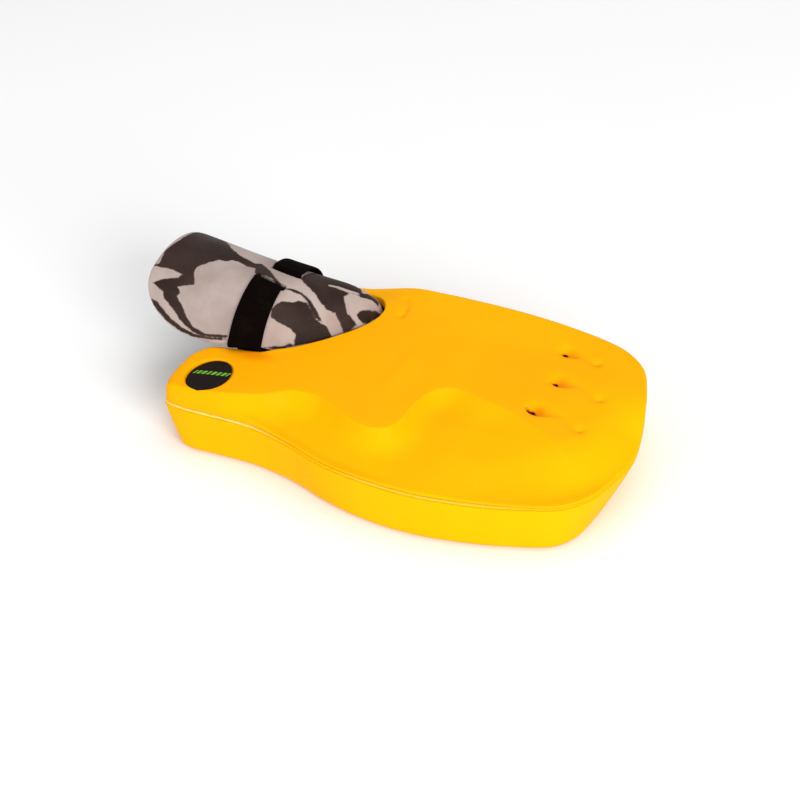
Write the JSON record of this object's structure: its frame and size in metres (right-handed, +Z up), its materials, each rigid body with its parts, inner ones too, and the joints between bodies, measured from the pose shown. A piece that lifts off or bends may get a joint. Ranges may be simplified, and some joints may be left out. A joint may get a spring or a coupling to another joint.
{
  "type": "goalkeeper hand pad",
  "caption": "Moulded foam hand pad with a pocket for the hand, a marbled foam cuff hinged over the wrist and a ring-and-tail webbing strap.",
  "frame": {"origin": "on the flat face the pad rests on, half way along and across the foam body", "axes": "+X from the wrist towards the fingertips, +Y towards the side away from the badge, +Z up out of the back of the hand"},
  "size_m": [0.4085, 0.2285, 0.0977],
  "materials": {
    "yellow_foam": "closed-cell foam, satin skin",
    "bond": "pale bonding sheet",
    "black_badge": "satin black with a green motif",
    "lining": "brushed knit lining",
    "marbled_foam": "marbled closed-cell foam, charcoal and warm grey",
    "black_webbing": "woven polyamide webbing",
    "black_plastic": "moulded black plastic"
  },
  "bodies": {
    "pad": {"base_block": "yellow_foam", "bond_sheet": "bond", "top_cover": "yellow_foam", "badge": "black_badge", "floor_liner": "lining", "palm_roof_liner": "lining", "finger_roof_liner": "lining", "finger_band_rear": "black_webbing", "finger_band_front": "black_webbing", "cuff_hinge_tape": "black_webbing", "finger_screw_1": "black_plastic", "finger_washer_1": "black_plastic", "finger_screw_nut_1": "black_plastic", "finger_stud_1": "black_plastic", "finger_stud_nut_1": "black_plastic", "finger_screw_2": "black_plastic", "finger_washer_2": "black_plastic", "finger_screw_nut_2": "black_plastic", "finger_stud_2": "black_plastic", "finger_stud_nut_2": "black_plastic", "finger_screw_3": "black_plastic", "finger_washer_3": "black_plastic", "finger_screw_nut_3": "black_plastic", "finger_stud_3": "black_plastic", "finger_stud_nut_3": "black_plastic"},
    "cuff": {"cuff": "marbled_foam", "cuff_liner": "lining", "wrist_strap": "black_webbing", "ring_keeper": "black_webbing", "loop_patch": "black_webbing"},
    "ring": {"strap_ring": "black_plastic"},
    "tail": {"strap_tail": "black_webbing", "hook_patch": "black_webbing"}
  },
  "joints": [
    {"name": "cuff_flex", "type": "hinge", "parent": "pad", "child": "cuff", "pos_m": [-0.062, 0.06, 0.048], "axis": [0, 1, 0], "range_deg": [0, 12]},
    {"name": "ring_rock", "type": "hinge", "parent": "cuff", "child": "ring", "pos_m": [-0.1315, 0.073, 0.029], "axis": [1, 0, 0], "range_deg": [-4, 4]},
    {"name": "tail_peel", "type": "hinge", "parent": "cuff", "child": "tail", "pos_m": [-0.1315, 0.058, 0.0213], "axis": [1, 0, 0], "range_deg": [0, 100]}
  ]
}
